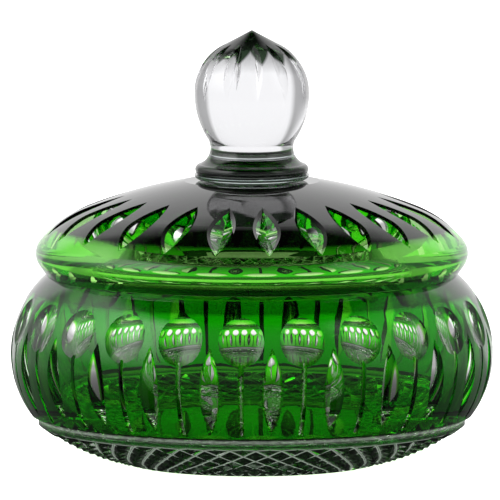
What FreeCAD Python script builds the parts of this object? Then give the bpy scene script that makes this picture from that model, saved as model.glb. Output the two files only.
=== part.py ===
"""Lidded candy dish in green-cased crystal, hand cut through the casing to the clear glass.

Millimetres, +Z up, origin in the middle of the foot's plane. The cuts are made as a cutter makes them:
each one is the shape that a turning wheel leaves, repeated round the axis.
"""
import FreeCAD, Part
import math
import os
import Sketcher

SIZES = [
    # bowl
    ("bowl_radius", 77.7, "outside radius at the widest circle"),
    ("widest_height", 36.0, "height of the widest circle"),
    ("wall_curve", 33.3, "radius of the outside wall, seen from the side"),
    ("seat_height", 61.2, "height of the ground rim that carries the lid"),
    ("casing_thick", 0.8, "thickness of the green casing"),
    ("casing_foot", 16.0, "height where the casing stops"),
    ("band_step", 2.27, "how far the smooth clear band is cut in under the casing"),
    ("band_slope", 0.7, "how far the band's upper edge lies under the casing's edge"),
    ("band_width", 2.4, "width of the band"),
    ("base_curve", 62.0, "radius of the rounded base, seen from the side"),
    ("foot_radius", 37.0, "outside radius of the ring that the bowl stands on"),
    ("foot_width", 4.0, "width of that ring"),
    ("foot_recess", 1.2, "depth of the hollow inside that ring"),
    ("wall_thick", 8.5, "thickness of the bowl's wall at the widest circle"),
    ("floor_thick", 10.0, "thickness of the bowl's floor"),
    ("cavity_curve", 28.0, "radius of the inside wall, seen from the side"),
    # cuts on the bowl
    ("cut_count", 24, "number of round cuts, of pointed cuts and of lid flutes"),
    ("shoulder_span", 14.4, "plain shoulder above the round cuts, in degrees of the wall's arc"),
    ("punty_span", 28.2, "round cut: its height, in degrees of the wall's arc"),
    ("punty_wheel", 36.0, "round cut: radius of the wheel"),
    ("punty_edge", 17.6, "round cut: radius of the wheel's rounded edge"),
    ("olive_reach", 10.4, "pointed cut: how far its tip reaches up between the round cuts, in degrees"),
    ("olive_foot", 3.7, "pointed cut: gap under its lower tip, in degrees of the wall's arc"),
    ("olive_wheel", 200.0, "pointed cut: radius of the wheel"),
    ("olive_mitre", 43.3, "pointed cut: half the angle of the wheel's edge"),
    ("stem_depth", 1.1, "stem under each round cut: depth"),
    ("stem_mitre", 38.0, "stem: half the angle of the wheel's edge"),
    ("stem_foot", 1.7, "stem: gap under its lower end, in degrees of the wall's arc"),
    ("diamond_count", 48, "number of diamonds in each row round the base"),
    ("diamond_mitre", 58.0, "half the angle of the grooves between the diamonds"),
    ("diamond_gap", 0.5, "gap between the band's lower edge and the first row, along the base"),
    ("diamond_blunt", 0.12, "how far the diamonds' points lie under the base's curve"),
    # lid
    ("rim_overhang", 3.53, "how far the lid's rounded rim stands out over the bowl's rim"),
    ("roll_height", 6.8, "height of the rim's middle above the seat"),
    ("roll_radius", 6.2, "radius of the rounded rim, seen from the side"),
    ("roll_end_angle", 125.0, "where the rim's round ends, degrees from straight up"),
    ("shoulder_curve", 36.5, "radius of the lid's shoulder, seen from the side"),
    ("shoulder_angle", 50.0, "slope where the rim meets the shoulder"),
    ("dome_curve", 157.0, "radius of the lid's flat dome, seen from the side"),
    ("dome_angle", 22.0, "slope where the shoulder meets the dome"),
    ("pad_radius", 21.9, "radius of the flat that carries the knob"),
    ("lid_thick", 11.5, "thickness of the lid's glass under the knob"),
    ("hollow_curve", 420.0, "radius of the hollow's roof, seen from the side"),
    ("hollow_corner", 14.0, "radius of the hollow's corner, seen from the side"),
    ("collar_depth", 4.5, "how far the collar drops into the mouth"),
    ("collar_thick", 5.0, "thickness of the collar"),
    ("collar_gap", 0.6, "clearance between the collar and the mouth, all round"),
    ("flute_inset", 3.5, "lid flute: how far its lower tip lies inside the rim"),
    ("flute_run", 25.3, "lid flute: how far it runs towards the knob"),
    ("flute_wheel", 70.0, "lid flute: radius of the wheel"),
    ("flute_mitre", 54.0, "lid flute: half the angle of the wheel's edge"),
    # knob and wafer
    ("stem_radius", 12.4, "radius of the wafer's stem"),
    ("wafer_radius", 18.5, "radius of the wafer"),
    ("wafer_lift", 0.5, "gap under the wafer, above the lid's flat"),
    ("wafer_thick", 1.6, "thickness of the wafer"),
    ("bead_radius", 17.3, "radius of the bead's underside"),
    ("bead_curve", 1.8, "radius of the bead, seen from the side"),
    ("bead_top_radius", 16.8, "radius where the bead runs into the neck"),
    ("bead_height", 3.4, "height of the bead"),
    ("neck_curve", 5.6, "radius of the neck, seen from the side"),
    ("neck_top_radius", 14.5, "radius where the neck runs into the ball"),
    ("neck_top", 11.9, "height of that circle above the wafer"),
    ("ball_radius", 18.5, "radius of the ball"),
    ("ball_height", 26.4, "height of the ball's widest circle above the wafer"),
    ("ball_low_curve", 27.0, "radius of the ball's lower half, seen from the side"),
    ("ball_top_curve", 17.3, "radius of the ball's upper half, seen from the side"),
    ("point_radius", 10.0, "radius where the ball runs into the point"),
    ("point_foot", 41.3, "height of that circle above the wafer"),
    ("point_height", 46.6, "height of the point above the wafer"),
    ("knob_cut_count", 12, "number of cuts that run up to the point"),
    ("knob_cut_low", 24.6, "height of the cuts' lower tips above the wafer"),
    ("knob_cut_stop", 1.2, "radius of the small uncut tip of the point"),
    ("knob_cut_curve", 26.5, "radius of the cuts' path, seen from the side"),
    ("knob_cut_mitre", 60.0, "half the angle of their V"),
]

SHEET = "sizes"
WHEEL_SPARE = 2.0
ROUND_WHEEL_SHARE = 0.9
STEM_OVERRUN = 2.0
CUTTER_EDGE = 0.25
CUTTER_SPARE = 4.0
FULL_TURN = 360


class Size:
    """A number and the spreadsheet expression that gives it, kept together through the arithmetic."""

    def __init__(self, value, text=None):
        self.value = float(value)
        self.text = repr(self.value) if text is None else text

    def __add__(self, other):
        other = as_size(other)
        return Size(self.value + other.value, f"({self.text} + {other.text})")

    def __sub__(self, other):
        other = as_size(other)
        return Size(self.value - other.value, f"({self.text} - {other.text})")

    def __mul__(self, other):
        other = as_size(other)
        return Size(self.value * other.value, f"({self.text} * {other.text})")

    def __truediv__(self, other):
        other = as_size(other)
        return Size(self.value / other.value, f"({self.text} / {other.text})")

    def __neg__(self):
        return Size(-self.value, f"(-1 * {self.text})")

    def __radd__(self, other):
        return as_size(other) + self

    def __rsub__(self, other):
        return as_size(other) - self

    def __rmul__(self, other):
        return as_size(other) * self

    def __rtruediv__(self, other):
        return as_size(other) / self


def as_size(number):
    return number if isinstance(number, Size) else Size(number)


def sqrt(number):
    return Size(math.sqrt(number.value), f"sqrt({number.text})")


def sin(angle):
    return Size(math.sin(math.radians(angle.value)), f"sin({angle.text})")


def cos(angle):
    return Size(math.cos(math.radians(angle.value)), f"cos({angle.text})")


def tan(angle):
    return Size(math.tan(math.radians(angle.value)), f"tan({angle.text})")


def asin(ratio):
    return Size(math.degrees(math.asin(ratio.value)), f"(asin({ratio.text}) / 1 deg)")


def atan(ratio):
    return Size(math.degrees(math.atan(ratio.value)), f"(atan({ratio.text}) / 1 deg)")


def leg(hypotenuse, other_leg):
    """Other leg of a right triangle."""
    return sqrt(hypotenuse * hypotenuse - other_leg * other_leg)


def make_sheet(doc):
    """Write the driving sizes into the spreadsheet and return them by name."""
    sheet = doc.addObject("Spreadsheet::Sheet", SHEET)
    sizes = {}
    for row, (name, value, meaning) in enumerate(SIZES, start=1):
        sheet.set(f"A{row}", name)
        sheet.set(f"B{row}", str(value))
        sheet.setAlias(f"B{row}", name)
        sheet.set(f"C{row}", meaning)
        sizes[name] = Size(value, f"{SHEET}.{name}")
    doc.recompute()
    return sizes


def origin_item(body, role):
    """One of a body's own origin planes or axes."""
    for item in body.Origin.OriginFeatures:
        if item.Role == role:
            return item
    raise ValueError(f"{body.Label} has no {role}")


def bind(item, name, size):
    item.setExpression(name, as_size(size).text)


def new_body(doc, name):
    body = doc.addObject("PartDesign::Body", name)
    body.Label = name
    return body


def new_sketch(body, name, support):
    sketch = body.newObject("Sketcher::SketchObject", name)
    sketch.AttachmentSupport = [(support, "")]
    sketch.MapMode = "FlatFace"
    return sketch


def edge_between(start, end, bend):
    """Straight edge, or an arc where bend is (radius, side); side is 1 to bulge left of the way, or -1."""
    a = FreeCAD.Vector(start[0].value, start[1].value, 0)
    b = FreeCAD.Vector(end[0].value, end[1].value, 0)
    if not bend:
        return Part.LineSegment(a, b)
    radius, side = bend
    along = (b - a).normalize()
    left = FreeCAD.Vector(-along.y, along.x, 0)
    half = (b - a).Length / 2
    rise = radius.value - math.sqrt(radius.value ** 2 - half ** 2)
    return Part.Arc(a, (a + b) * 0.5 + left * (rise * side), b)


def draw_outline(sketch, corners):
    """Closed outline from corners (x, y) or (x, y, radius, side), where the last two bend the next edge.

    Every corner and radius is bound to the spreadsheet, so the outline has no freedom left.
    """
    places = [(as_size(corner[0]), as_size(corner[1])) for corner in corners]
    starts = []
    for index, corner in enumerate(corners):
        edge = edge_between(places[index], places[(index + 1) % len(corners)], corner[2:])
        sketch.addGeometry(edge, False)
        wanted = FreeCAD.Vector(places[index][0].value, places[index][1].value, 0)
        starts.append(1 if sketch.getPoint(index, 1).isEqual(wanted, 1e-6) else 2)
    for index, corner in enumerate(corners):
        before = index - 1 if index else len(corners) - 1
        joint = (before, 3 - starts[before], index, starts[index])
        sketch.addConstraint(Sketcher.Constraint("Coincident", *joint))
        pin(sketch, "DistanceX", -2, index, starts[index], places[index][0])
        pin(sketch, "DistanceY", -1, index, starts[index], places[index][1])
        if len(corner) > 2:
            number = sketch.addConstraint(Sketcher.Constraint("Radius", index, corner[2].value))
            bind(sketch, f"Constraints[{number}]", corner[2])


def pin(sketch, kind, axis, edge, point, size):
    """Fix one coordinate of a corner, measured from the sketch's origin."""
    if size.value == 0:
        sketch.addConstraint(Sketcher.Constraint("PointOnObject", edge, point, axis))
        return
    number = sketch.addConstraint(Sketcher.Constraint(kind, -1, 1, edge, point, size.value))
    bind(sketch, f"Constraints[{number}]", size)


def turn(body, name, corners):
    """Turn an outline of (radius, height) corners about the body's axis."""
    sketch = new_sketch(body, f"{name}_outline", origin_item(body, "XZ_Plane"))
    draw_outline(sketch, corners)
    solid = body.newObject("PartDesign::Revolution", name)
    solid.Profile = sketch
    solid.ReferenceAxis = (sketch, ["V_Axis"])
    solid.Angle = FULL_TURN
    return solid


def half_pitch_plane(body, name, count):
    """Upright reference plane turned by half the spacing of the cuts."""
    plane = body.newObject("PartDesign::Plane", name)
    plane.AttachmentSupport = [(origin_item(body, "XY_Plane"), "")]
    plane.MapMode = "FlatFace"
    bind(plane, "AttachmentOffset.Rotation.Angle", 180 / count)
    return plane


def cutter_sketch(body, name, support, x, z, lean):
    """Sketch across a cut: its X axis lies at lean degrees above the radius, its Y axis along the girth."""
    sketch = new_sketch(body, f"{name}_wheel", support)
    sketch.AttachmentOffset = FreeCAD.Placement(
        FreeCAD.Vector(x.value, 0, z.value),
        FreeCAD.Rotation(FreeCAD.Vector(0, -1, 0), lean.value),
    )
    bind(sketch, "AttachmentOffset.Base.x", x)
    bind(sketch, "AttachmentOffset.Base.z", z)
    bind(sketch, "AttachmentOffset.Rotation.Angle", lean)
    return sketch


def grind(body, name, sketch, angle=FULL_TURN):
    """Take away what the cutter's outline sweeps round the sketch's Y axis, evenly to both sides."""
    groove = body.newObject("PartDesign::Groove", name)
    groove.Profile = sketch
    groove.ReferenceAxis = (sketch, ["V_Axis"])
    groove.Midplane = True
    bind(groove, "Angle", angle)
    return groove


def mitre_edge(radius, half_angle, depth):
    """Outline of a wheel with a V edge, from its axle to its edge, deep enough for the cut."""
    shoulder = radius - depth
    half_width = depth * tan(half_angle)
    return [(0, -half_width), (shoulder, -half_width), (radius, 0), (shoulder, half_width), (0, half_width)]


def round_edge(radius, edge_radius):
    """Outline of a wheel with a rounded edge, a little narrower than the edge's full round."""
    half_width = edge_radius * ROUND_WHEEL_SHARE
    shoulder = radius - edge_radius + leg(edge_radius, half_width)
    return [(0, -half_width), (shoulder, -half_width, edge_radius, -1), (shoulder, half_width), (0, half_width)]


def repeat(body, name, features, count):
    pattern = body.newObject("PartDesign::PolarPattern", name)
    pattern.Originals = features
    pattern.Axis = (origin_item(body, "Z_Axis"), [""])
    pattern.Angle = FULL_TURN
    bind(pattern, "Occurrences", count)
    body.Tip = pattern
    return pattern


class Bowl:
    """Places that the bowl's pieces and cuts share. The outside wall is one arc, bulging outwards."""

    def __init__(self, s):
        self.s = s
        self.wall_r = s["bowl_radius"] - s["wall_curve"]
        self.wall_z = s["widest_height"]
        self.cavity_r = s["bowl_radius"] - s["wall_thick"] - s["cavity_curve"]
        self.cavity_z = s["floor_thick"] + s["cavity_curve"]
        self.mouth_r = self.cavity_r + leg(s["cavity_curve"], s["seat_height"] - self.cavity_z)
        self.band_r = self.wall_at(s["casing_foot"]) - s["band_step"]
        self.band_top = s["casing_foot"] - s["band_slope"]
        self.band_foot = self.band_top - s["band_width"]
        self.punty_top = self.angle_at(s["seat_height"]) - s["shoulder_span"]
        self.punty_low = self.punty_top - s["punty_span"]
        self.olive_top = self.punty_low + s["olive_reach"]
        self.olive_low = self.angle_at(s["casing_foot"]) + s["olive_foot"]
        self.stem_low = self.angle_at(s["casing_foot"]) + s["stem_foot"]

    def wall_at(self, height, depth=0):
        """Radius of the outside wall at a height, or of the surface at a depth below it."""
        return self.wall_r + leg(self.s["wall_curve"] - depth, height - self.wall_z)

    def angle_at(self, height):
        """Where a height lies on the wall's arc, in degrees above the widest circle."""
        return asin((height - self.wall_z) / self.s["wall_curve"])


def cut_between(body, name, support, bowl, top_angle, low_angle, wheel, outline):
    """Wheel that enters the bowl's wall at one angle and leaves it at another."""
    half_span = (top_angle - low_angle) / 2
    lean = (top_angle + low_angle) / 2
    half_chord = bowl.s["wall_curve"] * sin(half_span)
    reach = bowl.s["wall_curve"] * cos(half_span) + leg(wheel, half_chord)
    x = bowl.wall_r + reach * cos(lean)
    z = bowl.wall_z + reach * sin(lean)
    sketch = cutter_sketch(body, name, support, x, z, lean + 180)
    draw_outline(sketch, outline)
    return grind(body, name, sketch)


def stem_cut(body, name, support, bowl):
    """Thin V that follows the wall down from the round cut, always as deep."""
    s = bowl.s
    tip = s["wall_curve"] - s["stem_depth"]
    top = s["wall_curve"] + WHEEL_SPARE
    half_width = (top - tip) * tan(s["stem_mitre"])
    lean = (bowl.punty_low + bowl.stem_low + STEM_OVERRUN) / 2
    sketch = cutter_sketch(body, name, support, bowl.wall_r, bowl.wall_z, lean)
    draw_outline(sketch, [(tip, 0), (top, -half_width), (top, half_width)])
    return grind(body, name, sketch, bowl.punty_low - bowl.stem_low + STEM_OVERRUN)


def cut_bowl(body, bowl):
    """All the cuts that go through the casing into the clear glass."""
    s = bowl.s
    front = origin_item(body, "XY_Plane")
    between = half_pitch_plane(body, "olive_plane", s["cut_count"])
    wheel = s["punty_wheel"]
    edge = round_edge(wheel, s["punty_edge"])
    punty = cut_between(body, "punty", front, bowl, bowl.punty_top, bowl.punty_low, wheel, edge)
    stem = stem_cut(body, "stem", front, bowl)
    wheel = s["olive_wheel"]
    edge = mitre_edge(wheel, s["olive_mitre"], s["wall_thick"] / 2 + WHEEL_SPARE)
    olive = cut_between(body, "olive", between, bowl, bowl.olive_top, bowl.olive_low, wheel, edge)
    return repeat(body, "cuts_all_round", [punty, stem, olive], s["cut_count"])


class Base:
    """The rounded base as an arc, measured along it from the band's lower edge down to the foot."""

    def __init__(self, bowl):
        s = bowl.s
        top = FreeCAD.Vector(bowl.band_r.value, bowl.band_foot.value, 0)
        foot = FreeCAD.Vector(s["foot_radius"].value, 0, 0)
        arc = edge_between((s["foot_radius"], Size(0)), (bowl.band_r, bowl.band_foot), (s["base_curve"], -1))
        curve = arc.toShape().Curve
        self.centre = curve.Center
        self.radius = curve.Radius
        self.start = math.atan2(top.y - self.centre.y, top.x - self.centre.x)
        self.length = self.radius * (self.start - math.atan2(foot.y - self.centre.y, foot.x - self.centre.x))

    def place(self, along, depth, turn):
        """Point at a way along the arc, a depth under it and an angle round the axis in radians."""
        angle = self.start - along / self.radius
        reach = self.radius - depth
        radius = self.centre.x + reach * math.cos(angle)
        height = self.centre.y + reach * math.sin(angle)
        return FreeCAD.Vector(radius * math.cos(turn), radius * math.sin(turn), height)

    def radius_at(self, along):
        return self.place(along, 0, 0).x


def diamond_rows(base, half_pitch, first):
    """How far down the base each row of groove crossings lies, so that every diamond is as tall as wide."""
    rows = [first]
    while rows[-1] < base.length:
        rows.append(rows[-1] + half_pitch * base.radius_at(rows[-1]))
    return rows[:-1]


def make_diamond_cutter(doc, bowl):
    """What the crossed grooves take off the base, as one solid: it leaves rows of pointed diamonds."""
    s = bowl.s
    base = Base(bowl)
    count = int(s["diamond_count"].value)
    half_pitch = math.pi / count
    rows = diamond_rows(base, half_pitch, s["diamond_gap"].value)
    mitre = math.tan(math.radians(s["diamond_mitre"].value))
    last = len(rows) - 1

    def corner(row, step):
        """Point on the cut surface: a crossing of two grooves or the point of a diamond, by turns."""
        along = rows[row]
        turn = step * half_pitch
        if row in (0, last):
            return base.place(along, -CUTTER_EDGE, turn)
        if (row + step) % 2:
            return base.place(along, s["diamond_blunt"].value, turn)
        return base.place(along, half_pitch * base.radius_at(along) / math.sqrt(2) / mitre, turn)

    def back(row, step):
        """Point on the cutter's plain back, clear of the glass."""
        return base.place(rows[row], -CUTTER_SPARE, step * half_pitch)

    faces = []
    for step in range(2 * count):
        for row in range(last):
            corners = [corner(row, step), corner(row, step + 1), corner(row + 1, step), corner(row + 1, step + 1)]
            faces += facets(corners, (row + step) % 2 == 0)
        rim = [back(0, step), back(0, step + 1), back(last, step), back(last, step + 1)]
        faces += facets(rim, True)
        faces += facets([corner(0, step), corner(0, step + 1), *rim[:2]], True)
        faces += facets([corner(last, step), corner(last, step + 1), *rim[2:]], True)
    cutter = doc.addObject("Part::Feature", "diamond_cutter")
    cutter.Shape = Part.Solid(Part.makeShell(faces))
    return cutter


def triangle(a, b, c):
    return Part.Face(Part.makePolygon([a, b, c, a]))


def facets(corners, falling):
    """Two triangles on four corners, split from the first to the last, or else across."""
    a, b, c, d = corners
    if falling:
        return [triangle(a, b, d), triangle(a, d, c)]
    return [triangle(a, b, c), triangle(b, d, c)]


def make_bowl_crystal(doc, bowl):
    """Clear glass of the bowl, from the ground rim to the ring that it stands on."""
    s = bowl.s
    body = new_body(doc, "bowl_glass")
    under = s["wall_curve"] - s["casing_thick"]
    thick = s["casing_thick"]
    foot_inside = s["foot_radius"] - s["foot_width"]
    turn(body, "blown_form", [
        (0, s["foot_recess"]),
        (foot_inside, s["foot_recess"]),
        (foot_inside, 0),
        (s["foot_radius"], 0, s["base_curve"], -1),
        (bowl.band_r, bowl.band_foot),
        (bowl.band_r, bowl.band_top),
        (bowl.wall_at(s["casing_foot"], thick), s["casing_foot"], under, -1),
        (bowl.wall_at(s["seat_height"], thick), s["seat_height"]),
        (bowl.mouth_r, s["seat_height"], s["cavity_curve"], 1),
        (bowl.cavity_r, s["floor_thick"]),
        (0, s["floor_thick"]),
    ])
    cut_bowl(body, bowl)
    crystal = doc.addObject("Part::Cut", "bowl_crystal")
    crystal.Label = "bowl_crystal"
    crystal.Base = body
    crystal.Tool = make_diamond_cutter(doc, bowl)
    return crystal


def make_bowl_overlay(doc, bowl):
    """Green casing of the bowl, open at every cut."""
    s = bowl.s
    body = new_body(doc, "bowl_overlay")
    under = s["wall_curve"] - s["casing_thick"]
    thick = s["casing_thick"]
    turn(body, "casing_form", [
        (bowl.wall_at(s["casing_foot"], thick), s["casing_foot"]),
        (bowl.wall_at(s["casing_foot"]), s["casing_foot"], s["wall_curve"], -1),
        (bowl.wall_at(s["seat_height"]), s["seat_height"]),
        (bowl.wall_at(s["seat_height"], thick), s["seat_height"], under, 1),
    ])
    cut_bowl(body, bowl)
    return body


class Lid:
    """Places that the lid's pieces share, measured from the seat. Rim, shoulder and dome run into each other."""

    def __init__(self, s, bowl):
        self.s = s
        self.radius = bowl.wall_at(s["seat_height"]) + s["rim_overhang"]
        self.roll = (self.radius - s["roll_radius"], s["roll_height"])
        reach = s["shoulder_curve"] - s["roll_radius"]
        angle = s["shoulder_angle"]
        self.shoulder = (self.roll[0] - reach * sin(angle), self.roll[1] - reach * cos(angle))
        reach = s["dome_curve"] - s["shoulder_curve"]
        angle = s["dome_angle"]
        self.dome = (self.shoulder[0] - reach * sin(angle), self.shoulder[1] - reach * cos(angle))
        self.pad = self.dome_height(s["pad_radius"])

    def outside(self, depth):
        """Corners from the flat pad out to the seat, at a depth below the green surface."""
        s = self.s
        pad = self.pad - depth
        dome = s["dome_curve"] - depth
        shoulder = s["shoulder_curve"] - depth
        roll = s["roll_radius"] - depth
        end = s["roll_end_angle"]
        end_r = self.roll[0] + roll * sin(end)
        end_z = self.roll[1] + roll * cos(end)
        return [
            (self.dome[0] + leg(dome, pad - self.dome[1]), pad, dome, 1),
            (*self.on(self.dome, dome, s["dome_angle"]), shoulder, 1),
            (*self.on(self.roll, roll, s["shoulder_angle"]), roll, 1),
            (end_r, end_z),
            (end_r + end_z / tan(end), 0),
        ]

    def on(self, centre, radius, angle):
        return (centre[0] + radius * sin(angle), centre[1] + radius * cos(angle))

    def dome_height(self, radius):
        """Height of the green surface on the flat dome."""
        return self.dome[1] + leg(self.s["dome_curve"], radius - self.dome[0])

    def shoulder_height(self, radius):
        """Height of the green surface on the rounded shoulder."""
        return self.shoulder[1] + leg(self.s["shoulder_curve"], radius - self.shoulder[0])


def lid_place(body, s, lift=0):
    """Seat a lid piece on the bowl's rim, turned so that its cuts stand over the pointed cuts."""
    bind(body, "Placement.Base.z", s["seat_height"] + lift)
    bind(body, "Placement.Rotation.Angle", 180 / s["cut_count"])


def cut_lid(body, lid):
    """Leaf-shaped flutes, each cut by a V-edged wheel from its upper tip to its lower one."""
    s = lid.s
    low_r = lid.radius - s["flute_inset"]
    top_r = low_r - s["flute_run"]
    top = (top_r, lid.dome_height(top_r))
    low = (low_r, lid.shoulder_height(low_r))
    run = low[0] - top[0]
    drop = top[1] - low[1]
    length = sqrt(run * run + drop * drop)
    reach = leg(s["flute_wheel"], length / 2)
    x = (top[0] + low[0]) / 2 + reach * drop / length
    z = (top[1] + low[1]) / 2 + reach * run / length
    lean = 270 - atan(drop / run)
    sketch = cutter_sketch(body, "flute", origin_item(body, "XY_Plane"), x, z, lean)
    draw_outline(sketch, mitre_edge(s["flute_wheel"], s["flute_mitre"], s["lid_thick"]))
    flute = grind(body, "flute", sketch)
    return repeat(body, "flutes_all_round", [flute], s["cut_count"])


def make_lid_crystal(doc, lid, bowl):
    """Clear glass of the lid with its ground seat, its hollow and the collar that centres it."""
    s = lid.s
    body = new_body(doc, "lid_crystal")
    collar_r = bowl.mouth_r - s["collar_gap"]
    inside_r = collar_r - s["collar_thick"]
    roof = lid.pad - s["lid_thick"]
    corner_r = inside_r - s["hollow_corner"] / 2
    corner_z = roof - s["hollow_curve"] + leg(s["hollow_curve"], corner_r)
    turn(body, "blown_form", [
        (0, lid.pad - s["casing_thick"]),
        *lid.outside(s["casing_thick"]),
        (collar_r, 0),
        (collar_r, -s["collar_depth"]),
        (inside_r, -s["collar_depth"]),
        (inside_r, s["roll_height"], s["hollow_corner"], -1),
        (corner_r, corner_z, s["hollow_curve"], -1),
        (0, roof),
    ])
    cut_lid(body, lid)
    lid_place(body, s)
    return body


def make_lid_overlay(doc, lid):
    """Green casing of the lid, open at every flute and where the wafer's stem goes through."""
    s = lid.s
    body = new_body(doc, "lid_overlay")
    outer = lid.outside(0)
    inner = lid.outside(s["casing_thick"])
    bends = [corner[2:] for corner in inner]
    back = [inner[4][:2]]
    for index in (3, 2, 1, 0):
        bend = bends[index - 1] if index else ()
        corner = inner[index][:2]
        back.append((*corner, bend[0], -1) if bend else corner)
    turn(body, "casing_form", [
        (s["stem_radius"], lid.pad - s["casing_thick"]),
        (s["stem_radius"], lid.pad),
        *outer,
        *back,
    ])
    cut_lid(body, lid)
    lid_place(body, s)
    return body


def make_wafer(doc, lid):
    """Round wafer that joins the knob to the lid's clear glass through the casing."""
    s = lid.s
    body = new_body(doc, "knob_wafer")
    under = s["casing_thick"] + s["wafer_lift"]
    top = under + s["wafer_thick"]
    edge = s["wafer_thick"]
    turn(body, "wafer_form", [
        (0, 0),
        (s["stem_radius"], 0),
        (s["stem_radius"], under),
        (s["wafer_radius"] - edge, under, edge, -1),
        (s["wafer_radius"], top),
        (0, top),
    ])
    lid_place(body, s, lid.pad - s["casing_thick"])
    return body


def make_knob(doc, lid):
    """Solid knob: bead, neck and ball, with V cuts that run up the ball and meet in the point."""
    s = lid.s
    body = new_body(doc, "knob")
    turn(body, "knob_form", [
        (0, 0),
        (s["bead_radius"], 0, s["bead_curve"], -1),
        (s["bead_top_radius"], s["bead_height"], s["neck_curve"], 1),
        (s["neck_top_radius"], s["neck_top"], s["ball_low_curve"], -1),
        (s["ball_radius"], s["ball_height"], s["ball_top_curve"], -1),
        (s["point_radius"], s["point_foot"]),
        (0, s["point_height"]),
    ])
    cut_knob(body, s)
    lid_place(body, s, lid.pad + s["wafer_lift"] + s["wafer_thick"])
    return body


def cut_knob(body, s):
    """Each cut follows an arc from its lower tip, just under the ball's widest circle, nearly to the point."""
    drop = s["ball_height"] - s["knob_cut_low"]
    low = (s["ball_radius"] - s["ball_low_curve"] + leg(s["ball_low_curve"], drop), s["knob_cut_low"])
    point_slope = (s["point_height"] - s["point_foot"]) / s["point_radius"]
    top = (s["knob_cut_stop"], s["point_height"] - point_slope * s["knob_cut_stop"])
    run = low[0] - top[0]
    rise = top[1] - low[1]
    length = sqrt(run * run + rise * rise)
    path = s["knob_cut_curve"]
    reach = leg(path, length / 2)
    x = (low[0] + top[0]) / 2 - reach * rise / length
    z = (low[1] + top[1]) / 2 - reach * run / length
    lean = atan(run / rise)
    sketch = cutter_sketch(body, "knob_cut", origin_item(body, "XY_Plane"), x, z, lean)
    depth = s["ball_radius"] / 3
    half_width = depth * tan(s["knob_cut_mitre"])
    draw_outline(sketch, [(path, 0), (path + depth, -half_width), (path + depth, half_width)])
    cut = grind(body, "knob_cut", sketch, 2 * asin(length / 2 / path))
    return repeat(body, "cuts_to_the_point", [cut], s["knob_cut_count"])


def check(doc, bodies):
    """Stop before anything is written if a feature failed or a piece is not a sound solid."""
    for item in doc.Objects:
        if "Invalid" in item.State or "Error" in item.State:
            raise ValueError(f"{item.Name} failed")
    for body in bodies:
        shape = body.Shape
        if shape.isNull() or not shape.isValid() or not shape.Solids:
            raise ValueError(f"{body.Label} is not a sound solid")


def write(bodies):
    os.makedirs("parts", exist_ok=True)
    for body in bodies:
        body.Shape.exportStep(os.path.join("parts", f"{body.Label}.step"))
        box = body.Shape.BoundBox
        print(body.Label, len(body.Shape.Solids), round(body.Shape.Volume), box)


def main():
    doc = FreeCAD.newDocument("candy_dish")
    sizes = make_sheet(doc)
    bowl = Bowl(sizes)
    lid = Lid(sizes, bowl)
    bodies = [
        make_bowl_crystal(doc, bowl),
        make_bowl_overlay(doc, bowl),
        make_lid_crystal(doc, lid, bowl),
        make_lid_overlay(doc, lid),
        make_wafer(doc, lid),
        make_knob(doc, lid),
    ]
    doc.recompute()
    check(doc, bodies)
    write(bodies)


main()
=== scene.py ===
"""Looks of the lidded candy dish: green-cased crystal, cut through the casing to the clear glass.

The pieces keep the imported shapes. Where two of them are fused, their touching faces let the light pass
straight on, as in the real glass, so only outside surfaces bend or mirror it.
"""
import math

import bpy
import numpy as np
from bpy.props import FloatProperty, FloatVectorProperty, IntProperty, PointerProperty
from bpy.types import Operator, Panel, PropertyGroup
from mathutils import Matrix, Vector
from mathutils.bvhtree import BVHTree


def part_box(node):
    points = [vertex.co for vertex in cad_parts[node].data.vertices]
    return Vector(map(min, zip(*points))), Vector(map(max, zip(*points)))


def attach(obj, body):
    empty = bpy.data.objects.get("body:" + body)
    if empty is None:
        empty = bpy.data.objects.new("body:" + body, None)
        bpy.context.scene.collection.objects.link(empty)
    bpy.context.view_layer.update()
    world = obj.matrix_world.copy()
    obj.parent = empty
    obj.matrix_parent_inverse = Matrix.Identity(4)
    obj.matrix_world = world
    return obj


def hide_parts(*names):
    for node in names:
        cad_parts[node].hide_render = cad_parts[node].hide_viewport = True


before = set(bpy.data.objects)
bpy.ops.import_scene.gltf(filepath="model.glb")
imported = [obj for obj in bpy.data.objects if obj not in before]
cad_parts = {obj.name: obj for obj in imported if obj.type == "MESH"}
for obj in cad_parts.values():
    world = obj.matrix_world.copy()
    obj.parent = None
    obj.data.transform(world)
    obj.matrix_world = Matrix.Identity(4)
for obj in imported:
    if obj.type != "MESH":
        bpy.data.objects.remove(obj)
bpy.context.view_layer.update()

bl_info = {
    "name": "Cased crystal candy dish",
    "version": (1, 0, 0),
    "blender": (4, 5, 0),
    "location": "3D View > Sidebar > Candy dish",
    "description": "Dresses a lidded cut-crystal candy dish in its glass and lights it",
    "category": "Object",
}

# Lengths are in metres. A list of stops pairs places along a ramp with levels or colours.
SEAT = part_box("lid_overlay")[0].z
WAFER_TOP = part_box("knob")[0].z
WAFER_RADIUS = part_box("knob_wafer")[1].x
BEAD_RADIUS = 0.0173
# The narrow edge under the bowl's casing, whose faces get a painted shade.
EDGE_RADIUS = 0.0685
EDGE_HEIGHTS = (0.0152, 0.01605)
SEAT_AIR = 8e-5
RING_STEPS = 144

# Faces are fused where they are this near and face each other this squarely, of 1. A face is level to LEVEL.
TOUCH = 6e-5
FACING = 0.97
LEVEL = 1e-6

# A face's finish number is the number of its material on the piece.
SKIN, FUSED, GROUND, EDGE = range(4)
FUSED_MARK = "fused"

# The base: a curve from the foot up to the clear band, with crossed grooves that leave rows of diamonds.
FOOT_RADIUS = 0.037
BAND_FOOT = (0.068755, 0.0129)
BASE_CURVE = 0.062
DIAMOND_GAP = 0.0005
DIAMOND_ROWS = 10
DIAMONDS_FADE = (0.0126, 0.0120)
SIDE_BLUR = 0.02
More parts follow.
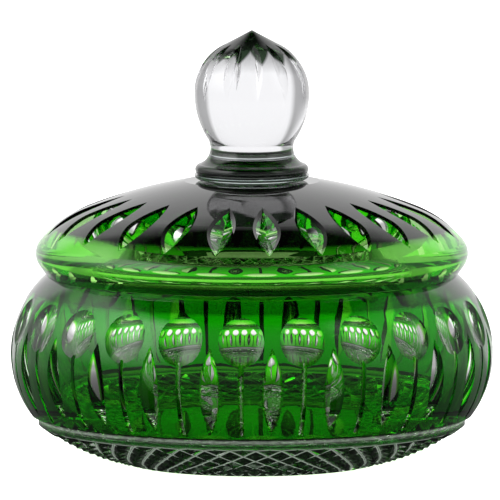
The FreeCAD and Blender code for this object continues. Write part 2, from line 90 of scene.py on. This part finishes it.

# Satin lines with a painted glow, by the distance from the bottom of a groove, where 0.5 is the middle of a
# diamond.
GLOW_LINE_STOPS = [(0.0, 0.3), (0.015, 0.3), (0.03, 1.0), (0.06, 1.0), (0.085, 0.0)]

# Painted shine of the clear band, by height: noisy patches of satin with its glow. Satin counts less for
# light that doesn't go straight to the eye.
PAINTED_SHINE_STOPS = [(0.014145, 0.0), (0.0144, 1.0), (0.015, 1.0), (0.015195, 0.0)]
PAINTED_SHINE_SCALE = 500.0
UNSEEN_SHARE = 0.12

# Tones of the crystal, mostly by height, on ramps that go up to the reach below: clear glass, and painted
# shades that darken the wafer, the bowl's base and the knob.
HEIGHT_RAMP_REACH = 0.15
CLEAR = (1.0, 1.0, 1.0, 1.0)
# A painted shade that darkens the whole wafer.
WAFER_PAINTED_SHADE = (0.4, 0.46, 0.46, 1.0)
# A painted shade on the upper sides of the bowl's diamonds.
UPPER_SIDE_PAINTED_SHADE = (0.004, 0.008, 0.004, 1.0)
# A painted shade on the bowl's base by height: grey-green low down, dark green from 12.8 to 13.8 mm, clear
# from 14.2 mm up.
BAND_PAINTED_SHADE = (0.004, 0.14, 0.004)
BOWL_PAINTED_SHADES = [(0.0118, (0.8, 0.9, 0.8)), (0.0128, BAND_PAINTED_SHADE), (0.0138, BAND_PAINTED_SHADE), (0.0142, 1.0)]
# A painted shade on the knob by height: a dark foot, a light grey ball and a dark point.
BALL_PAINTED_SHADE = (0.88, 0.88, 0.9)
KNOB_PAINTED_SHADES = [
    (0.0993, (0.003, 0.004, 0.003)), (0.1000, BALL_PAINTED_SHADE),
    (0.1295, BALL_PAINTED_SHADE), (0.1303, (0.003, 0.009, 0.003)),
]
# The knob's cuts, along which the painted dark of its point runs down in tongues.
KNOB_CUTS = 12
KNOB_CUTS_FADE = (0.105, 0.115)
KNOB_SHADE_TONGUES = 0.008

# How much light the skins of the casings pass, a painted shade: the bowl's by height, dark near its top; the
# lid's by radius, near black over the dome, and by height, dark green low on the rim.
CASING_REACH = 0.1
BOWL_SKIN_SHADE_STOPS = [(0.0548, 1.0), (0.0562, 0.11)]
LID_DOME_SHADE_STOPS = [(0.0636, 0.0004), (0.0655, 1.0)]
LID_RIM_SHADE_STOPS = [(0.0635, (0.001, 0.045, 0.002)), (0.065, 1.0)]
LID_CASING_DEPTH = 0.3
POLISH_SCALE = 90.0

# Keeps the colour of the green layer's volume over black.
COLOUR_MARGIN = 1.02


def slope_share(degrees):
    """Place on a ramp from straight down to straight up."""
    return 0.5 + 0.5 * math.sin(math.radians(degrees))


def turn_share(degrees):
    """Place on a ramp from straight in front to straight behind, given the angle from straight behind."""
    return 0.5 + 0.5 * math.cos(math.radians(degrees))


def stops_by(share, *pairs):
    """Stops of a ramp, each given by its angle and its level."""
    return [(share(degrees), level) for degrees, level in pairs]


# The light tent: its bright band and its two upright soft lights, by slope and by turn.
BACKDROP = 1.12
TENT_SHADE = 0.012
BAND_STOPS = stops_by(slope_share, (-30, 0.0), (-20, 1.0), (42, 1.0), (58, 0.0))
SIDE_STOPS = stops_by(turn_share, (180, 0.2), (140, 0.2), (110, 0.3), (42, 0.45), (35, 1.0))
SOFTBOX_STOPS = stops_by(slope_share, (0, 0.0), (24, 0.9), (45, 1.0), (54, 0.0))
LEFT_STOPS = stops_by(turn_share, (145, 0.0), (130, 1.0), (105, 0.9), (62, 0.3), (45, 0.0))
RIGHT_STOPS = stops_by(turn_share, (135, 0.0), (122, 1.0), (112, 1.0), (98, 0.1), (60, 0.0))
LEFT_STRENGTH = 2.6
RIGHT_STRENGTH = 0.9
SIDE_FADE = 0.2

# The table, with a painted shadow near the dish that only the glass sees, and the soft light above.
FLOOR_SHADOW_STOPS = [(0.06, 0.15), (0.12, 0.35), (0.34, 1.0)]
FLOOR_HALF = 4.0
FLOOR_DROP = 0.0002
OVERHEAD_HEIGHT = 1.6
OVERHEAD_SIZE = 2.0
OVERHEAD_POWER = 45.0
LIGHT_PATHS = {
    "max_bounces": 40, "transmission_bounces": 40, "glossy_bounces": 16, "diffuse_bounces": 3,
    "transparent_max_bounces": 96, "caustics_reflective": False, "caustics_refractive": False,
    "sample_clamp_indirect": 4.0,
}


# ---------------------------------------------------------------- shader building

class Value:
    """A number socket that can be used in sums: each operation adds its Math node."""

    def __init__(self, nodes, socket):
        self.nodes = nodes
        self.socket = socket

    def _maths(self, operation, first, second=0.0):
        node = self.nodes.add("ShaderNodeMath", {"operation": operation}, {0: first, 1: second})
        return Value(self.nodes, node.outputs[0])

    def __add__(self, other):
        return self._maths("ADD", self, other)

    def __radd__(self, other):
        return self._maths("ADD", other, self)

    def __sub__(self, other):
        return self._maths("SUBTRACT", self, other)

    def __rsub__(self, other):
        return self._maths("SUBTRACT", other, self)

    def __mul__(self, other):
        return self._maths("MULTIPLY", self, other)

    def __rmul__(self, other):
        return self._maths("MULTIPLY", other, self)

    def __truediv__(self, other):
        return self._maths("DIVIDE", self, other)

    def __rtruediv__(self, other):
        return self._maths("DIVIDE", other, self)

    def root(self):
        return self._maths("SQRT", self)

    def turn(self, across):
        """Angle of the point (across, self)."""
        return self._maths("ARCTAN2", self, across)

    def off_whole(self):
        """How far it is from the nearest whole number."""
        return self._maths("PINGPONG", self, 0.5)

    def past_whole(self):
        """How far it is past the whole number below it."""
        return self._maths("FRACT", self)

    def least(self, other):
        return self._maths("MINIMUM", self, other)


class Nodes:
    """Fills one node tree."""

    def __init__(self, tree):
        self.tree = tree
        tree.nodes.clear()

    def add(self, kind, settings=None, inputs=None):
        """Node with its settings, then the values or links of its sockets."""
        node = self.tree.nodes.new(kind)
        for name, value in (settings or {}).items():
            if name == "stops":
                self._set_stops(node.color_ramp, value)
            else:
                setattr(node, name, value)
        for name, value in (inputs or {}).items():
            self._feed(node.inputs[name], value)
        return node

    def value(self, node, output=0):
        return Value(self, node.outputs[output])

    def axes(self, vector=None):
        """The three numbers of a vector, or of the place on the piece."""
        vector = vector or self.place()
        parts = self.add("ShaderNodeSeparateXYZ", inputs={"Vector": vector})
        return [self.value(parts, name) for name in "XYZ"]

    def place(self):
        return self.add("ShaderNodeTexCoord").outputs["Object"]

    def noise(self, scale, detail=2.0):
        inputs = {"Vector": self.place(), "Scale": scale, "Detail": detail}
        return self.value(self.add("ShaderNodeTexNoise", inputs=inputs))

    def uneven(self, least, spread, scale):
        """Number that drifts over the surface, from the least up by no more than the spread."""
        return least + spread * self.noise(scale)

    def fade(self, number, start, end):
        """From 0 where the number is at the start to 1 where it is at the end."""
        inputs = {"Value": number, "From Min": start, "From Max": end}
        return self.value(self.add("ShaderNodeMapRange", inputs=inputs))

    def tone(self, stops, number, reach=1.0):
        """Colour from a ramp. The number and the places of the stops run from 0 to the reach."""
        shares = [(place / reach, level) for place, level in stops]
        ramp = self.add("ShaderNodeValToRGB", {"stops": shares}, {"Fac": number * (1.0 / reach)})
        return ramp.outputs["Color"]

    def level(self, stops, number, reach=1.0):
        """Number from a grey ramp, as tone gives its colour."""
        return Value(self, self.tone(stops, number, reach))

    def mix_colour(self, factor, first, second, way="MIX"):
        node = self.add("ShaderNodeMix", {"data_type": "RGBA", "blend_type": way}, {
            "Factor": factor, "A": first, "B": second,
        })
        return node.outputs["Result"]

    def mix_shader(self, factor, first, second):
        return self.add("ShaderNodeMixShader", inputs={0: factor, 1: first, 2: second}).outputs[0]

    def shader(self, kind, inputs=None):
        return self.add(kind, inputs=inputs).outputs[0]

    def light_path(self, ray):
        """1 for a ray of this kind, 0 for the others."""
        return self.value(self.add("ShaderNodeLightPath"), ray)

    def _feed(self, socket, value):
        if isinstance(value, Value):
            value = value.socket
        if isinstance(value, bpy.types.NodeSocket):
            self.tree.links.new(value, socket)
        else:
            socket.default_value = value

    def _set_stops(self, ramp, stops):
        while len(ramp.elements) < len(stops):
            ramp.elements.new(1.0)
        for element, (place, level) in zip(ramp.elements, stops):
            element.position = place
            element.color = (*level, 1.0) if isinstance(level, tuple) else (level, level, level, 1.0)


def off_axis(x, y):
    """Distance from the axis, kept just over nothing so that it can divide."""
    return (x * x + y * y + 1e-8).root()


# ---------------------------------------------------------------- settings

class GlassSettings(PropertyGroup):
    diamonds: IntProperty(
        name="Diamonds", description="Number of diamonds in each row round the base", default=48,
    )
    bend: FloatProperty(
        name="Refraction", description="How strongly the lead crystal bends light", default=1.53,
    )
    casing_single: FloatVectorProperty(
        name="Casing colour",
        description="Share of red, green and blue that one thickness of casing lets through",
        subtype="COLOR", min=0.001, max=1.0, default=(0.07, 0.62, 0.012),
    )
    casing_thick: FloatProperty(
        name="Casing thickness", description="Thickness of the green layer",
        subtype="DISTANCE", unit="LENGTH", default=0.0008,
    )
    polish_wave: FloatProperty(
        name="Polish waviness", description="Height of the faint waves that hand polishing leaves",
        subtype="DISTANCE", unit="LENGTH", default=0.0000035,
    )
    ground_roughness: FloatProperty(
        name="Ground seat", description="Roughness of the ground faces where lid and bowl meet",
        subtype="FACTOR", min=0.0, max=1.0, default=0.35,
    )


class StageSettings(PropertyGroup):
    azimuth: FloatProperty(name="Camera azimuth", description="Camera's angle round the dish",
                           subtype="ANGLE", unit="ROTATION", default=math.radians(2.6))
    elevation: FloatProperty(name="Camera elevation", description="Camera's angle above the table",
                             subtype="ANGLE", unit="ROTATION", default=math.radians(6.3))
    distance: FloatProperty(name="Camera distance", description="From the dish's axis",
                            subtype="DISTANCE", unit="LENGTH", default=6.5)
    view_width: FloatProperty(name="View width", description="Width of the view at the dish",
                              subtype="DISTANCE", unit="LENGTH", default=0.161)
    aim_height: FloatProperty(name="Aim height", description="Height of the view's middle",
                              subtype="DISTANCE", unit="LENGTH", default=0.06897)
    aim_side: FloatProperty(name="Aim side", description="How far the view's middle lies left of the axis",
                            subtype="DISTANCE", unit="LENGTH", default=0.0006)


class DishSettings(PropertyGroup):
    glass: PointerProperty(type=GlassSettings)
    stage: PointerProperty(type=StageSettings)


def settings():
    return bpy.context.scene.candy_dish


# ---------------------------------------------------------------- shapes

class Shape:
    """Corners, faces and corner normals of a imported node, with one finish number for each face."""

    def __init__(self, node):
        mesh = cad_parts[node].data
        mesh.calc_loop_triangles()
        triangles = mesh.loop_triangles
        self.points = read(mesh.vertices, "co", float)
        self.faces = read(triangles, "vertices", int)
        self.normals = read(mesh.corner_normals, "vector", float)[read(triangles, "loops", int)]
        self.finish = np.full(len(triangles), SKIN)

    def middles(self):
        return self.points[self.faces].mean(axis=1)

    def facing(self):
        sides = self.points[self.faces]
        cross = np.cross(sides[:, 1] - sides[:, 0], sides[:, 2] - sides[:, 0])
        return cross / np.maximum(np.linalg.norm(cross, axis=1, keepdims=True), 1e-20)

    def tree(self):
        return BVHTree.FromPolygons(self.points.tolist(), self.faces.tolist())

    def fuse(self, *others):
        """Mark the faces that lie on another piece's faces: they let light straight through."""
        middles, facing = self.middles(), self.facing()
        for other in others:
            tree = other.tree()
            for face in np.flatnonzero(self.finish == SKIN):
                place, normal, _, _ = tree.find_nearest(Vector(middles[face]), TOUCH)
                if place is not None and normal.dot(Vector(facing[face])) < -FACING:
                    self.finish[face] = FUSED

    def where(self, test):
        """Numbers of the faces whose corners all pass a test of (radius, height)."""
        radius = np.hypot(self.points[:, 0], self.points[:, 1])
        return np.flatnonzero(test(radius, self.points[:, 2])[self.faces].all(axis=1))

    def add_ring(self, inside, outside, height, finish):
        """Flat ring that faces up, or a disc where inside is 0."""
        start = len(self.points)
        turn = np.arange(RING_STEPS) * math.tau / RING_STEPS
        rings = [np.stack([r * np.cos(turn), r * np.sin(turn), np.full(RING_STEPS, height)], 1)
                 for r in (inside, outside)]
        self.points = np.concatenate([self.points, *rings])
        here = np.arange(RING_STEPS)
        a, b = start + here, start + (here + 1) % RING_STEPS
        faces = np.stack([a, a + RING_STEPS, b + RING_STEPS], 1)
        if inside:
            faces = np.concatenate([faces, np.stack([a, b + RING_STEPS, b], 1)])
        self.faces = np.concatenate([self.faces, faces])
        self.normals = np.concatenate([self.normals, np.broadcast_to((0.0, 0.0, 1.0), (len(faces), 3, 3))])
        self.finish = np.concatenate([self.finish, np.full(len(faces), finish)])

    def drop(self, faces):
        keep = np.setdiff1d(np.arange(len(self.faces)), faces)
        self.faces, self.normals, self.finish = self.faces[keep], self.normals[keep], self.finish[keep]

    def make(self, name, materials):
        """Piece with these materials, one for each finish number, or one for all of them."""
        used, faces = np.unique(self.faces, return_inverse=True)
        mesh = bpy.data.meshes.new(name)
        mesh.from_pydata(self.points[used].tolist(), [], faces.reshape(-1, 3).tolist())
        for material in materials:
            mesh.materials.append(material)
        numbers = np.minimum(self.finish, len(materials) - 1)
        mesh.polygons.foreach_set("material_index", numbers.astype(np.int32))
        mark = mesh.attributes.new(FUSED_MARK, "FLOAT", "FACE")
        mark.data.foreach_set("value", (self.finish == FUSED).astype(np.float32))
        mesh.polygons.foreach_set("use_smooth", np.ones(len(self.faces), bool))
        mesh.normals_split_custom_set(self.normals.reshape(-1, 3).tolist())
        mesh.update()
        piece = bpy.data.objects.new(name, mesh)
        bpy.context.scene.collection.objects.link(piece)
        return piece


def read(items, name, kind):
    """One row of three numbers for each item."""
    found = np.empty(len(items) * 3, np.float32 if kind is float else np.int32)
    items.foreach_get(name, found)
    return found.reshape(-1, 3).astype(kind)


def on_seat(_radius, height):
    return abs(height - SEAT) < LEVEL


def on_wafer_top(_radius, height):
    return abs(height - WAFER_TOP) < LEVEL


def on_casing_edge(radius, height):
    return (radius > EDGE_RADIUS) & (height > EDGE_HEIGHTS[0]) & (height < EDGE_HEIGHTS[1])


def lift_seat(shape):
    """The lid rests on high spots of the ground seat, with a film of air between."""
    heights = shape.points[:, 2]
    heights[on_seat(None, heights)] += SEAT_AIR


def arc_centre(low, high, radius):
    """Middle of the arc that bulges outwards and down between two points."""
    half = math.dist(low, high) / 2
    away = math.sqrt(radius * radius - half * half) / (2 * half)
    middle = ((low[0] + high[0]) / 2, (low[1] + high[1]) / 2)
    return (middle[0] - (high[1] - low[1]) * away, middle[1] + (high[0] - low[0]) * away)


# ---------------------------------------------------------------- finishes

def new_material(name):
    """Material and its empty nodes, or no nodes where it is made already."""
    material = bpy.data.materials.get(name)
    if material:
        return material, None
    material = bpy.data.materials.new(name)
    material.use_nodes = True
    return material, Nodes(material.node_tree)


def show(nodes, surface, **others):
    nodes.add("ShaderNodeOutputMaterial", inputs={"Surface": surface, **others})


def with_lamps_through(nodes, surface):
    """The lamp lights what is behind the glass as if no glass were there."""
    clear = nodes.shader("ShaderNodeBsdfTransparent")
    return nodes.mix_shader(nodes.light_path("Is Shadow Ray"), surface, clear)


def polished(nodes, tone_and_shade):
    """Polished lead crystal: bends light and mirrors it by angle, with faint waves from the polishing."""
    glass = settings().glass
    bump = nodes.add("ShaderNodeBump", inputs={
        "Height": nodes.noise(POLISH_SCALE, detail=1.0), "Strength": 1.0, "Distance": glass.polish_wave,
    })
    return nodes.shader("ShaderNodeBsdfPrincipled", {
        "Base Color": tone_and_shade, "Transmission Weight": 1.0, "IOR": glass.bend,
        "Roughness": 0.0, "Normal": bump.outputs["Normal"],
    })


def satin_with_glow(nodes):
    """Glass left matt by the wheel, which catches the light, and a painted glow from its emission."""
    return nodes.shader("ShaderNodeBsdfPrincipled", {
        "Base Color": (0.8, 0.85, 0.8, 1.0), "Roughness": 0.4, "IOR": settings().glass.bend,
        "Transmission Weight": 0.3, "Emission Color": (0.9, 1.0, 0.9, 1.0), "Emission Strength": 0.2,
    })


def even_crystal(name, tone_and_shade):
    """Polished crystal of one tone, which on the wafer is a painted shade."""
    material, nodes = new_material(name)
    if nodes:
        show(nodes, with_lamps_through(nodes, polished(nodes, tone_and_shade)))
    return material


def clear_crystal():
    return even_crystal("polished_crystal", CLEAR)


def wafer_crystal_painted_shade():
    # The wafer gets a painted shade all over.
    return even_crystal("wafer_crystal_painted_shade", WAFER_PAINTED_SHADE)


def knob_crystal():
    """Crystal of the knob with painted shade: a dark point that ends in tongues along the cuts, a dark foot
    and a light grey ball.
    """
    material, nodes = new_material("knob_crystal_painted_shade")
    if nodes:
        x, y, z = nodes.axes()
        between = (y.turn(x) * (KNOB_CUTS / math.tau) + 0.5).off_whole()
        # Height for the painted shade, shifted round the knob so the dark point ends in tongues along the
        # cuts.
        height = z - between * nodes.fade(z, *KNOB_CUTS_FADE) * KNOB_SHADE_TONGUES
        surface = polished(nodes, nodes.tone(KNOB_PAINTED_SHADES, height, HEIGHT_RAMP_REACH))
        show(nodes, with_lamps_through(nodes, surface))
    return material


def bowl_crystal():
    """Crystal of the bowl: a painted shine on its band, painted shade on its base and darker still on the
    diamonds' upper sides, and satin grooves with a painted glow.
    """
    material, nodes = new_material("bowl_crystal_shade_and_glow")
    if nodes:
        x, y, z = nodes.axes()
        left, right = groove_steps(nodes, x, y, z)
        cut = nodes.fade(z, *DIAMONDS_FADE)
        # Painted shade: the diamonds' upper sides go darker, over the base's painted shade by height.
        upper = nodes.fade(right.past_whole() - left.past_whole(), -SIDE_BLUR, SIDE_BLUR)
        tone_and_shade = nodes.mix_colour(upper * cut, nodes.tone(BOWL_PAINTED_SHADES, z, HEIGHT_RAMP_REACH), UPPER_SIDE_PAINTED_SHADE)
        # Satin lines along the grooves, with a painted glow.
        lines = nodes.level(GLOW_LINE_STOPS, left.off_whole().least(right.off_whole())) * cut
        # Painted shine on the clear band, in noisy patches.
        shine = nodes.level(PAINTED_SHINE_STOPS, z, HEIGHT_RAMP_REACH) * nodes.noise(PAINTED_SHINE_SCALE)
        seen = UNSEEN_SHARE + (1.0 - UNSEEN_SHARE) * nodes.light_path("Is Camera Ray")
        surface = nodes.mix_shader((lines + shine) * seen, polished(nodes, tone_and_shade), satin_with_glow(nodes))
        show(nodes, with_lamps_through(nodes, surface))
    return material


def groove_steps(nodes, x, y, z):
    """Two numbers over the base, each of them whole along the bottoms of the grooves of one slant."""
    count = settings().glass.diamonds
    centre = arc_centre((FOOT_RADIUS, 0.0), BAND_FOOT, BASE_CURVE)
    below = (z - centre[1]).turn(off_axis(x, y) - centre[0]) * -1.0
    row = nodes.level(row_stops(count, centre), below, math.pi) * DIAMOND_ROWS
    step = y.turn(x) * (count / math.pi)
    return (step + row) * 0.5, (step - row) * 0.5


def row_stops(count, centre):
    """Share of the rows at each angle round the base's curve: a row is half as tall as a diamond is wide."""
    start = math.atan2(BAND_FOOT[1] - centre[1], BAND_FOOT[0] - centre[0])
    stops, down = [], DIAMOND_GAP
    for row in range(DIAMOND_ROWS):
        angle = start - down / BASE_CURVE
        stops.append((-angle, row / DIAMOND_ROWS))
        down += math.pi / count * (centre[0] + BASE_CURVE * math.cos(angle))
    return stops


def painted_shade_edge():
    """Narrow edge under the casing, painted near black as the shade that lies on it."""
    material, nodes = new_material("casing_edge")
    if nodes:
        show(nodes, nodes.shader("ShaderNodeBsdfPrincipled", {
            "Base Color": (0.01, 0.03, 0.01, 1.0), "IOR": 1.1,
            "Roughness": nodes.uneven(0.3, 0.2, scale=60.0),
        }))
    return material


def ground_crystal():
    """Ground glass of the seat, partly matt."""
    material, nodes = new_material("ground_seat")
    if nodes:
        glass = settings().glass
        surface = nodes.shader("ShaderNodeBsdfPrincipled", {
            "Base Color": (0.9, 0.93, 0.9, 1.0), "IOR": glass.bend, "Transmission Weight": 0.35,
            "Roughness": nodes.uneven(glass.ground_roughness, 0.2, scale=900.0),
        })
        show(nodes, with_lamps_through(nodes, surface))
    return material


def fused_clear():
    """No surface at all, where the piece runs on into the next one."""
    material, nodes = new_material("fused_clear")
    if nodes:
        show(nodes, nodes.shader("ShaderNodeBsdfTransparent"))
    return material


def green_casing(name, skin_shade, depth=1.0):
    """One material for a whole casing, so that its green ends where light passes its fused side.

    The skin gives how much light its surface passes, a painted shade that darkens parts of the casing, and
    the depth scales its green.
    """
    material, nodes = new_material(name)
    if nodes:
        surface = with_lamps_through(nodes, polished(nodes, skin_shade(nodes)))
        fused = nodes.value(nodes.add("ShaderNodeAttribute", {"attribute_name": FUSED_MARK}), "Fac")
        surface = nodes.mix_shader(fused, surface, nodes.shader("ShaderNodeBsdfTransparent"))
        show(nodes, surface, Volume=casing_volume(nodes, depth))
    return material


def casing_volume(nodes, depth):
    """The green that the casing takes from light on its way through."""
    glass = settings().glass
    taken = [-math.log(share) * depth / glass.casing_thick for share in glass.casing_single]
    density = max(taken) * COLOUR_MARGIN
    colour = [1.0 - part / density for part in taken]
    return nodes.shader("ShaderNodeVolumeAbsorption", {"Color": (*colour, 1.0), "Density": density})


def bowl_skin_shade(nodes):
    # A painted shade: the bowl's skin passes less light near its top.
    return nodes.tone(BOWL_SKIN_SHADE_STOPS, nodes.axes()[2], CASING_REACH)


def lid_skin_shade(nodes):
    x, y, z = nodes.axes()
    # A painted shade: the lid's skin is near black over the dome and dark green low on the rim.
    dome = nodes.tone(LID_DOME_SHADE_STOPS, off_axis(x, y), CASING_REACH)
    rim = nodes.tone(LID_RIM_SHADE_STOPS, z, CASING_REACH)
    return nodes.mix_colour(1.0, dome, rim, "MULTIPLY")


def bowl_casing():
    return green_casing("bowl_casing", bowl_skin_shade)


def lid_casing():
    return green_casing("lid_casing", lid_skin_shade, LID_CASING_DEPTH)


# ---------------------------------------------------------------- pieces

class DISH_OT_bowl_crystal(Operator):
    """Clear glass of the bowl, with its ground rim and a painted shade on the narrow edge under its casing.
    """
    bl_idname = "dish.bowl_crystal"
    bl_label = "Bowl crystal"

    def execute(self, context):
        shape = Shape("bowl_crystal")
        shape.fuse(Shape("bowl_overlay"))
        shape.finish[shape.where(on_seat)] = GROUND
        # The narrow edge under the casing gets the painted shade.
        edge = shape.where(on_casing_edge)
        shape.finish[edge[shape.finish[edge] == SKIN]] = EDGE
        piece = shape.make("cut_bowl_crystal", [
            bowl_crystal(), fused_clear(), ground_crystal(), painted_shade_edge(),
        ])
        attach(piece, "bowl")
        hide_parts("bowl_crystal")
        return {"FINISHED"}


class DISH_OT_bowl_overlay(Operator):
    """Green casing of the bowl."""
    bl_idname = "dish.bowl_overlay"
    bl_label = "Bowl casing"

    def execute(self, context):
        shape = Shape("bowl_overlay")
        shape.fuse(Shape("bowl_crystal"))
        piece = shape.make("cut_bowl_casing", [bowl_casing()])
        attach(piece, "bowl")
        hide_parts("bowl_overlay")
        return {"FINISHED"}


class DISH_OT_lid_crystal(Operator):
    """Clear glass of the lid, with its ground seat."""
    bl_idname = "dish.lid_crystal"
    bl_label = "Lid crystal"

    def execute(self, context):
        shape = Shape("lid_crystal")
        shape.fuse(Shape("lid_overlay"), Shape("knob_wafer"))
        shape.finish[shape.where(on_seat)] = GROUND
        lift_seat(shape)
        piece = shape.make("fluted_lid_crystal", [clear_crystal(), fused_clear(), ground_crystal()])
        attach(piece, "lid")
        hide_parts("lid_crystal")
        return {"FINISHED"}


class DISH_OT_lid_overlay(Operator):
    """Green casing of the lid."""
    bl_idname = "dish.lid_overlay"
    bl_label = "Lid casing"

    def execute(self, context):
        shape = Shape("lid_overlay")
        shape.fuse(Shape("lid_crystal"), Shape("knob_wafer"))
        lift_seat(shape)
        piece = shape.make("fluted_lid_casing", [lid_casing()])
        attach(piece, "lid")
        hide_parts("lid_overlay")
        return {"FINISHED"}


class DISH_OT_wafer(Operator):
    """Wafer under the knob."""
    bl_idname = "dish.wafer"
    bl_label = "Wafer"

    def execute(self, context):
        shape = Shape("knob_wafer")
        shape.drop(shape.where(on_wafer_top))
        shape.fuse(Shape("lid_crystal"), Shape("lid_overlay"))
        shape.add_ring(0.0, BEAD_RADIUS, WAFER_TOP, FUSED)
        shape.add_ring(BEAD_RADIUS, WAFER_RADIUS, WAFER_TOP, SKIN)
        piece = shape.make("knob_wafer_ring", [wafer_crystal_painted_shade(), fused_clear()])
        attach(piece, "lid")
        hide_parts("knob_wafer")
        return {"FINISHED"}


class DISH_OT_knob(Operator):
    """Solid pointed knob."""
    bl_idname = "dish.knob"
    bl_label = "Knob"

    def execute(self, context):
        shape = Shape("knob")
        shape.finish[shape.where(on_wafer_top)] = FUSED
        piece = shape.make("pointed_knob", [knob_crystal(), fused_clear()])
        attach(piece, "lid")
        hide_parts("knob")
        return {"FINISHED"}


# ---------------------------------------------------------------- stage

def add_camera():
    stage = settings().stage
    lens = bpy.data.cameras.new("camera")
    lens.sensor_width = 36.0
    lens.lens = lens.sensor_width * stage.distance / stage.view_width
    lens.clip_end = 50.0
    camera = bpy.data.objects.new("camera", lens)
    bpy.context.scene.collection.objects.link(camera)
    side = Vector((math.cos(stage.azimuth), math.sin(stage.azimuth), 0))
    back = Vector((math.sin(stage.azimuth), -math.cos(stage.azimuth), 0))
    up = Vector((0, 0, 1))
    target = up * stage.aim_height - side * stage.aim_side
    place = target + stage.distance * (back * math.cos(stage.elevation) + up * math.sin(stage.elevation))
    camera.location = place
    camera.rotation_euler = (target - place).to_track_quat("-Z", "Y").to_euler()
    bpy.context.scene.camera = camera


def tent_level(nodes, behind, stops):
    """How bright the tent is to each side, from a number that is 1 straight behind and -1 in front."""
    return nodes.level(stops, behind * 0.5 + 0.5)


def pale_floor():
    """Pale table. In the glass it shows a painted shadow: dark under the dish and light further off, as a
    real one is.
    """
    material, nodes = new_material("pale_floor")
    if nodes:
        shown = nodes.shader("ShaderNodeBsdfPrincipled", {
            "Base Color": (0.9, 0.9, 0.9, 1.0), "IOR": 1.3,
            "Roughness": nodes.uneven(0.75, 0.1, scale=40.0),
            "Emission Color": (1.0, 1.0, 1.0, 1.0), "Emission Strength": 0.72,
        })
        x, y, _ = nodes.axes()
        away = off_axis(x, y)
        # A painted shadow for rays other than the eye's: dark near the dish, light further off, brighter
        # behind.
        level = nodes.level(FLOOR_SHADOW_STOPS, away) * tent_level(nodes, y / away, SIDE_STOPS)
        dark = nodes.shader("ShaderNodeEmission", {"Color": (0.0, 0.0, 0.0, 1.0), "Strength": BACKDROP})
        light = nodes.shader("ShaderNodeEmission", {"Color": (1.0, 1.0, 1.0, 1.0), "Strength": BACKDROP})
        floor_with_painted_shadow = nodes.mix_shader(level, dark, light)
        show(nodes, nodes.mix_shader(nodes.light_path("Is Camera Ray"), floor_with_painted_shadow, shown))
    return material


def add_floor():
    corners = [(x * FLOOR_HALF, y * FLOOR_HALF, 0) for x, y in ((-1, -1), (1, -1), (1, 1), (-1, 1))]
    mesh = bpy.data.meshes.new("floor")
    mesh.from_pydata(corners, [], [(0, 1, 2, 3)])
    mesh.materials.append(pale_floor())
    floor = bpy.data.objects.new("floor", mesh)
    floor.location.z = -FLOOR_DROP
    bpy.context.scene.collection.objects.link(floor)


def softbox_level(nodes, height, behind, side, stops):
    """Upright soft light beside the dish; side is a number that grows from 0 towards that light's side."""
    rise = nodes.level(SOFTBOX_STOPS, height * 0.5 + 0.5)
    return rise * nodes.fade(side, 0.0, SIDE_FADE) * tent_level(nodes, behind, stops)


def add_world():
    """Light tent: a white band round the horizon, brightest behind the dish, dark overhead and below."""
    world = bpy.data.worlds.new("studio")
    world.use_nodes = True
    bpy.context.scene.world = world
    nodes = Nodes(world.node_tree)
    x, y, height = nodes.axes(nodes.add("ShaderNodeTexCoord").outputs["Generated"])
    across = (1.0 - height * height).root()
    behind, right = y / across, x / across
    level = nodes.level(BAND_STOPS, height * 0.5 + 0.5) * tent_level(nodes, behind, SIDE_STOPS)
    level = level * BACKDROP + TENT_SHADE
    level = level + softbox_level(nodes, height, behind, right * -1.0, LEFT_STOPS) * LEFT_STRENGTH
    level = level + softbox_level(nodes, height, behind, right, RIGHT_STOPS) * RIGHT_STRENGTH
    seen = nodes.light_path("Is Camera Ray")
    sky = nodes.shader("ShaderNodeBackground", {"Color": level * (1.0 - seen) + seen, "Strength": 1.0})
    nodes.add("ShaderNodeOutputWorld", inputs={"Surface": sky})


def add_overhead():
    """Soft square light above the dish, which the glass doesn't mirror."""
    light = bpy.data.lights.new("overhead", "AREA")
    light.size = OVERHEAD_SIZE
    light.energy = OVERHEAD_POWER
    lamp = bpy.data.objects.new("overhead", light)
    lamp.location.z = OVERHEAD_HEIGHT
    lamp.visible_glossy = False
    lamp.visible_transmission = False
    bpy.context.scene.collection.objects.link(lamp)


class DISH_OT_stage(Operator):
    """Floor, backdrop, light and camera."""
    bl_idname = "dish.stage"
    bl_label = "Stage"

    def execute(self, context):
        add_camera()
        add_floor()
        add_world()
        add_overhead()
        context.scene.view_settings.view_transform = "Standard"
        for name, value in LIGHT_PATHS.items():
            setattr(context.scene.cycles, name, value)
        return {"FINISHED"}


class DISH_PT_panel(Panel):
    bl_idname = "DISH_PT_panel"
    bl_label = "Candy dish"
    bl_space_type = "VIEW_3D"
    bl_region_type = "UI"
    bl_category = "Candy dish"

    def draw(self, context):
        dish = context.scene.candy_dish
        for group in (dish.glass, dish.stage):
            box = self.layout.box()
            for name in group.__annotations__:
                box.prop(group, name)
        for operator in OPERATORS:
            self.layout.operator(operator.bl_idname)


OPERATORS = (
    DISH_OT_stage, DISH_OT_bowl_crystal, DISH_OT_bowl_overlay, DISH_OT_lid_crystal,
    DISH_OT_lid_overlay, DISH_OT_wafer, DISH_OT_knob,
)
CLASSES = (GlassSettings, StageSettings, DishSettings, *OPERATORS, DISH_PT_panel)


def register():
    for each in CLASSES:
        bpy.utils.register_class(each)
    bpy.types.Scene.candy_dish = PointerProperty(type=DishSettings)


def unregister():
    del bpy.types.Scene.candy_dish
    for each in reversed(CLASSES):
        bpy.utils.unregister_class(each)


def main():
    register()
    bpy.ops.dish.stage()
    bpy.ops.dish.bowl_crystal()
    bpy.ops.dish.bowl_overlay()
    bpy.ops.dish.lid_crystal()
    bpy.ops.dish.lid_overlay()
    bpy.ops.dish.wafer()
    bpy.ops.dish.knob()


if __name__ == "__main__":
    main()
